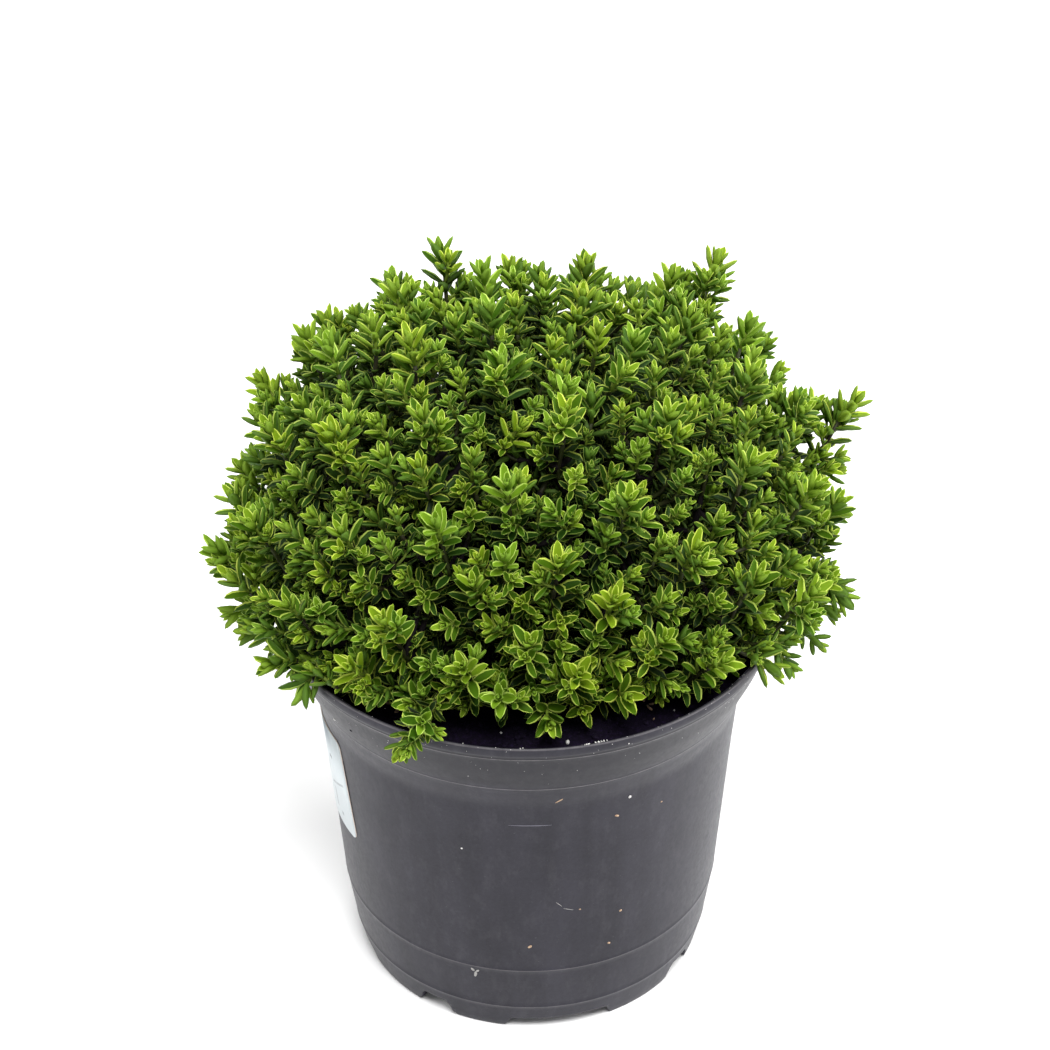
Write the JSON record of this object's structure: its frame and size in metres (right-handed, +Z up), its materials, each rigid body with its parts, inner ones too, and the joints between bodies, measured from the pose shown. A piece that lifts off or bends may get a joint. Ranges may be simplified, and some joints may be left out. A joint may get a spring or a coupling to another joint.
{
  "type": "potted hebe",
  "caption": "Low evergreen shrub with small close-set leaves, growing as a dense dome in a round plastic pot of soil.",
  "frame": {"origin": "centre of the pot's flat underside", "axes": "+Z up, -Y towards the side that the picture shows, +X to the right in the picture"},
  "size_m": [0.1585, 0.1354, 0.1792],
  "materials": {
    "pot_plastic": "satin",
    "compost": "matte",
    "label": "satin",
    "bark": "matte",
    "foliage": "satin"
  },
  "bodies": {
    "root": {"pot": "pot_plastic", "soil": "compost", "pot_label": "label", "stem": "bark", "bough_low_1": "bark", "foliage_low_1": "foliage", "bough_low_2": "bark", "foliage_low_2": "foliage", "bough_low_3": "bark", "foliage_low_3": "foliage", "bough_low_4": "bark", "foliage_low_4": "foliage", "bough_low_5": "bark", "foliage_low_5": "foliage", "bough_low_6": "bark", "foliage_low_6": "foliage", "bough_low_7": "bark", "foliage_low_7": "foliage", "bough_low_8": "bark", "foliage_low_8": "foliage", "bough_low_9": "bark", "foliage_low_9": "foliage", "bough_high_1": "bark", "foliage_high_1": "foliage", "bough_high_2": "bark", "foliage_high_2": "foliage", "bough_high_3": "bark", "foliage_high_3": "foliage", "bough_high_4": "bark", "foliage_high_4": "foliage", "bough_high_5": "bark", "foliage_high_5": "foliage", "bough_top": "bark", "foliage_top": "foliage"}
  },
  "joints": []
}
